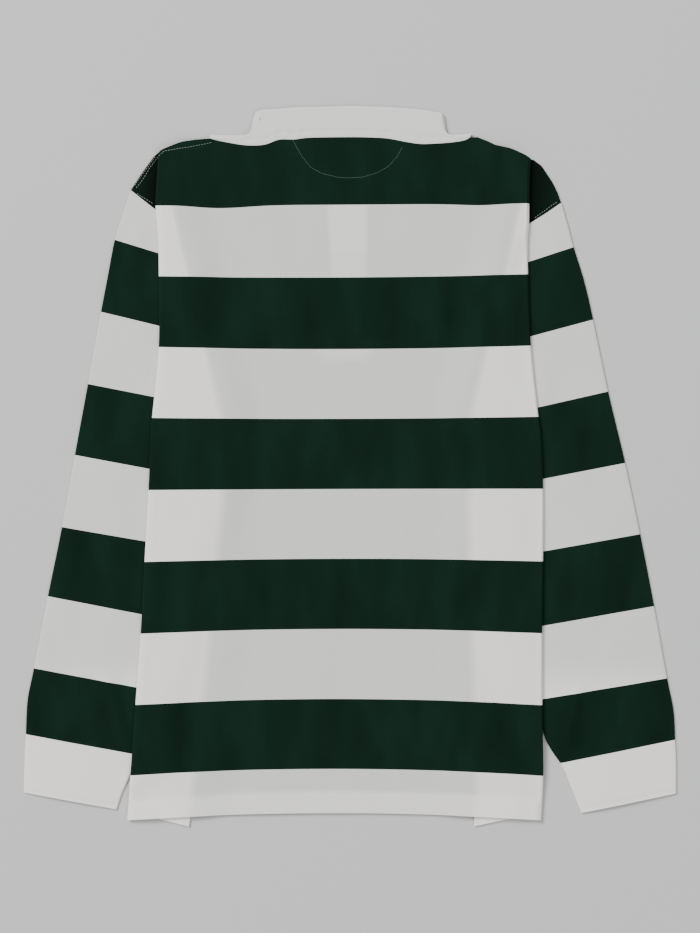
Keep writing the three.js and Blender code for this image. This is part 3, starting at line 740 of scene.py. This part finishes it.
COTTON_IOR = 1.47
COTTON_ROUGH = 0.95
COTTON_SHINE = 0.1
FUZZ = 0.02
FUZZ_ROUGH = 0.5
GREEN_DEEP = "#010a05"         # green lying in the shade of the folds
GREEN = "#05160d"
GREEN_LIGHT = "#0d251b"
WHITE = "#cacac8"
WHITE_LIGHT = "#eeece8"        # white with more white cloth beneath it, also the painted highlight on creases and painted light on sleeves
WALE = 0.0013                  # knit columns, drawn a little coarser than the real 0.9 mm to show
COURSE = HOOP * MM / WALE      # rows of loops in one hoop
LOOP_HEIGHT = 0.0003
SPECKS = 900.0                 # spun yarn specks in a metre


def cloth_material(name):
    """Matt cotton with a faint fuzz."""
    material = bpy.data.materials.new(name)
    material.use_nodes = True
    shader = material.node_tree.nodes["Principled BSDF"]
    shader.inputs["Roughness"].default_value = COTTON_ROUGH
    shader.inputs["IOR"].default_value = COTTON_IOR
    shader.inputs["Specular IOR Level"].default_value = COTTON_SHINE
    shader.inputs["Sheen Weight"].default_value = FUZZ
    shader.inputs["Sheen Roughness"].default_value = FUZZ_ROUGH
    return material, material.node_tree, shader


def knit(tree, split, shader, strength):
    """Fine columns and rows of loops, with the slight mottle of spun cotton."""
    turn = 2 * math.pi
    column = add(tree, "ShaderNodeMath", {0: split.outputs["X"], 1: turn / WALE}, operation="MULTIPLY")
    wales = add(tree, "ShaderNodeMath", {0: column.outputs[0]}, operation="SINE")
    row = add(tree, "ShaderNodeMath", {0: split.outputs["Y"], 1: turn * COURSE}, operation="MULTIPLY")
    courses = add(tree, "ShaderNodeMath", {0: row.outputs[0]}, operation="SINE")
    loops = add(tree, "ShaderNodeMath", {0: wales.outputs[0], 1: courses.outputs[0]}, operation="MULTIPLY")
    place = add(tree, "ShaderNodeTexCoord").outputs["Object"]
    specks = add(tree, "ShaderNodeTexNoise", {"Vector": place, "Scale": SPECKS, "Detail": 3.0})
    height = add(tree, "ShaderNodeMath", {0: loops.outputs[0], 1: 0.35, 2: specks.outputs["Fac"]},
                 operation="MULTIPLY_ADD")
    bump = add(tree, "ShaderNodeBump",
               {"Height": height.outputs[0], "Strength": strength, "Distance": LOOP_HEIGHT})
    tree.links.new(bump.outputs["Normal"], shader.inputs["Normal"])
    return specks.outputs["Fac"]


def hooped_jersey():
    """Heavy cotton jersey knitted in dyed hoops. It looks matt and faintly fuzzy, with crisp
    edges between the colours and soft streaks along the knit where it has been handled."""
    material, tree, shader = cloth_material("hooped_cotton_jersey")
    place = add(tree, "ShaderNodeAttribute", attribute_name="cloth").outputs["Vector"]
    split = add(tree, "ShaderNodeSeparateXYZ", {"Vector": place})
    half = add(tree, "ShaderNodeMath", {0: split.outputs["Y"], 1: 0.5, 2: 100.0}, operation="MULTIPLY_ADD")
    cycle = add(tree, "ShaderNodeMath", {0: half.outputs[0]}, operation="FRACT")
    green_hoop = add(tree, "ShaderNodeMath", {0: cycle.outputs[0], 1: 0.5}, operation="GREATER_THAN")
    knit(tree, split, shader, 0.25)
    world = add(tree, "ShaderNodeTexCoord").outputs["Object"]
    along = add(tree, "ShaderNodeMapping", {"Vector": world, "Scale": (26.0, 9.0, 1.0)})
    streak = add(tree, "ShaderNodeTexNoise", {"Vector": along.outputs[0], "Scale": 1.0, "Detail": 2.0})
    worn = add(tree, "ShaderNodeMapRange",
               {"Value": streak.outputs["Fac"], "From Min": 0.15, "From Max": 0.85})
    green = add(tree, "ShaderNodeMix",
                {"Factor": worn.outputs[0], "A": linear(GREEN), "B": linear(GREEN_LIGHT)}, data_type="RGBA")
    # Painted shade: a negative third cloth value darkens the green towards GREEN_DEEP.
    shade = add(tree, "ShaderNodeMath", {0: split.outputs["Z"], 1: -1.0}, operation="MULTIPLY")
    shaded = add(tree, "ShaderNodeMix",
                 {"Factor": shade.outputs[0], "A": green.outputs["Result"], "B": linear(GREEN_DEEP)},
                 data_type="RGBA")
    # A positive third cloth value lightens the white towards WHITE_LIGHT: partly cloth beneath showing
    # through, partly painted highlight and painted light.
    white = add(tree, "ShaderNodeMix",
                {"Factor": split.outputs["Z"], "A": linear(WHITE), "B": linear(WHITE_LIGHT)},
                data_type="RGBA")
    hoop = add(tree, "ShaderNodeMix",
               {"Factor": green_hoop.outputs[0], "A": white.outputs["Result"], "B": shaded.outputs["Result"]},
               data_type="RGBA")
    wear = add(tree, "ShaderNodeMapRange",
               {"Value": streak.outputs["Fac"], "To Min": 0.95, "To Max": 1.05})
    toned = add(tree, "ShaderNodeHueSaturation", {"Color": hoop.outputs["Result"], "Value": wear.outputs[0]})
    tree.links.new(toned.outputs["Color"], shader.inputs["Base Color"])
    return material


def plain_cloth(name, light, dark, strength):
    """One colour of cloth or thread, barely mottled."""
    material, tree, shader = cloth_material(name)
    place = add(tree, "ShaderNodeAttribute", attribute_name="cloth").outputs["Vector"]
    split = add(tree, "ShaderNodeSeparateXYZ", {"Vector": place})
    specks = knit(tree, split, shader, strength)
    colour = add(tree, "ShaderNodeMix",
                 {"Factor": specks, "A": linear(dark), "B": linear(light)}, data_type="RGBA")
    tree.links.new(colour.outputs["Result"], shader.inputs["Base Color"])
    return material


JERSEY = hooped_jersey()
# Cotton twill: a flat, slightly brighter white that makes the collar stand out from the jersey.
TWILL = plain_cloth("white_cotton_twill", "#dadad8", "#d4d4d2", 0.3)
# Closely knitted cotton: the brightest white of the shirt, at the wrists.
RIB = plain_cloth("white_cotton_cuff_cloth", "#eceae6", "#e7e5e1", 0.35)
# The jersey's green alone, as the half-moon inside the neck is cut from it.
GREEN_JERSEY = plain_cloth("green_cotton_jersey", GREEN_LIGHT, GREEN, 0.25)
# White thread: a dotted line that barely lifts off the green.
WHITE_THREAD = plain_cloth("white_polyester_thread", "#a9b3ac", "#98a39b", 0.1)
# Pale green thread: a dim dotted arc.
PALE_THREAD = plain_cloth("pale_green_polyester_thread", "#5f7a69", "#546f5e", 0.1)

# ------------------------------------------------------------------ making the shirt


def settle(piece, node):
    """Puts a finished piece in the place of the plain one."""
    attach(piece, "root")
    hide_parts(node)


back_face, back_inside, back_fields = body_grid(0, 170, 12, 10, 60, 12)
back_panel = cloth_piece("back_body", back_face, back_inside, JERSEY, back_fields)
settle(back_panel, "back_panel")

front_face, front_inside, front_fields = body_grid(1, 90, 8, 6, 24, 8)
front_panel = cloth_piece("front_body", front_face, front_inside, JERSEY, front_fields)
settle(front_panel, "front_panel")

shoulder_ends = []
for side in ("l", "r"):
    for nested, half in ((0, "back"), (1, "front")):
        grids = shoulder_end(side, nested)
        word = "left" if side == "l" else "right"
        end = cloth_piece(f"{half}_shoulder_end_{word}", grids[0], grids[1], JERSEY, grids[2])
        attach(end, "root")
        shoulder_ends.append(end)

for word, rows, out, fold_rows, hoop_rows in (
        ("left", LEFT_SLEEVE, -1, SLEEVE_FOLDS_LEFT, LEFT_HOOPS),
        ("right", RIGHT_SLEEVE, 1, SLEEVE_FOLDS_RIGHT, RIGHT_HOOPS)):
    grids = flat_tube(rows, out, 150, 44, 8, fold_rows,
                      lambda x, y, h=hoop_rows: sleeve_hoops(h, x, y), 1.3, armhole=True, furrow=0.985)
    sleeve = cloth_piece(f"sleeve_{word}_cloth", grids[0], grids[1], JERSEY, grids[2], closed=True)
    settle(sleeve, f"sleeve_{word}")

NO_FOLDS = table("x1 y1 x2 y2 wide high", [])
for word, rows, out in (("left", LEFT_CUFF, -1), ("right", RIGHT_CUFF, 1)):
    grids = flat_tube(rows, out, 34, 50, 8, NO_FOLDS, lambda x, y: -y / HOOP, 1.6, furrow=0.93)
    cuff = cloth_piece(f"cuff_{word}_cloth", grids[0], grids[1], RIB, grids[2], closed=True)
    settle(cuff, f"cuff_{word}")

collar_face, collar_inside, collar_fields = collar_grid()
collar = cloth_piece("collar_cloth", collar_face, collar_inside, TWILL, collar_fields)
settle(collar, "collar")

for node, material in (("placket", TWILL), ("neck_patch", GREEN_JERSEY)):
    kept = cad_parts[node]
    kept.data.materials.clear()
    kept.data.materials.append(material)

# ------------------------------------------------------------------ stitching

bpy.context.view_layer.update()
left_end_back = shoulder_ends[0]
right_end_back = shoulder_ends[2]

moon = [(-61.3, 349.8), (-51.6, 332.6), (-41.9, 320.8), (-30.1, 314.4), (-14, 310.4), (-0.5, 309.5),
        (14, 310.5), (29, 315), (40.8, 321.6), (50.5, 332.3), (57, 344.5)]
stitch_row("neck_patch_stitches", moon, PALE_THREAD, pitch=2.6, length=2.1, thick=0.4, on=[back_panel])
shoulder_line = [(-148.3, 347.7), (-172.0, 342.3), (-198.8, 338.0), (-206.4, 331.6), (-215.0, 320.8),
                 (-222.5, 307.9), (-231.1, 297.0)]
top_cloth = [back_panel, left_end_back]
stitch_row("shoulder_stitches_left", shoulder_line, WHITE_THREAD, thick=0.38, on=top_cloth)
edge_line = [(-208.8, 333.0), (-220.6, 317.0), (-232.6, 300.0)]
stitch_row("shoulder_edge_stitches_left", edge_line, WHITE_THREAD, thick=0.38, on=[left_end_back])
left_armhole = [(-229.0, 293.6), (-226.8, 291.8), (-209.8, 281.1)]
right_armhole = [(222.6, 284.0), (216.1, 279.9), (196.0, 265.2)]
stitch_row("armhole_stitches_left", left_armhole, WHITE_THREAD, thick=0.42, on=[left_end_back])
stitch_row("armhole_stitches_right", right_armhole, WHITE_THREAD, thick=0.42, on=[right_end_back])

# ------------------------------------------------------------------ floor, light and camera

FLOOR_SIZE = 6.0
floor_mesh = bpy.data.meshes.new("floor")
reach = FLOOR_SIZE / 2
corners = [(-reach, -reach, 0), (reach, -reach, 0), (reach, reach, 0), (-reach, reach, 0)]
floor_mesh.from_pydata(corners, [], [(0, 1, 2, 3)])
floor = bpy.data.objects.new("floor", floor_mesh)
bpy.context.scene.collection.objects.link(floor)
# Matt grey paper: an even ground with no shine.
paper = bpy.data.materials.new("matt_paper")
paper.use_nodes = True
paper_shader = paper.node_tree.nodes["Principled BSDF"]
paper_shader.inputs["Base Color"].default_value = linear("#c1c1c1")
paper_shader.inputs["Roughness"].default_value = 1.0
paper_shader.inputs["Specular IOR Level"].default_value = 0.0
floor_mesh.materials.append(paper)

ROOM_LIGHT = 0.58
world = bpy.data.worlds.new("soft_room")
world.use_nodes = True
world.node_tree.nodes["Background"].inputs["Color"].default_value = (1, 1, 1, 1)
world.node_tree.nodes["Background"].inputs["Strength"].default_value = ROOM_LIGHT
bpy.context.scene.world = world


def softbox(name, place, size, power):
    """A square studio light turned towards the shirt."""
    lamp = bpy.data.lights.new(name, "AREA")
    lamp.shape = "SQUARE"
    lamp.size = size
    lamp.energy = power
    thing = bpy.data.objects.new(name, lamp)
    thing.location = place
    thing.rotation_euler = (Vector((0, 0, 0)) - Vector(place)).to_track_quat("-Z", "Y").to_euler()
    bpy.context.scene.collection.objects.link(thing)


softbox("key_softbox", (-4.5, 3.6, 5.7), 3.4, 830)
softbox("fill_softbox", (3.4, -2.0, 5.2), 2.8, 110)

CAMERA_HEIGHT = 2.5
FRAME_HEIGHT = 1.0028
SENSOR = 36.0
lens = bpy.data.cameras.new("overhead_camera")
lens.sensor_width = SENSOR
lens.lens = SENSOR * CAMERA_HEIGHT / FRAME_HEIGHT
camera = bpy.data.objects.new("overhead_camera", lens)
camera.location = (0, 0, CAMERA_HEIGHT)
bpy.context.scene.collection.objects.link(camera)
bpy.context.scene.camera = camera

# ------------------------------------------------------------------ final update of the scene

bpy.context.view_layer.update()
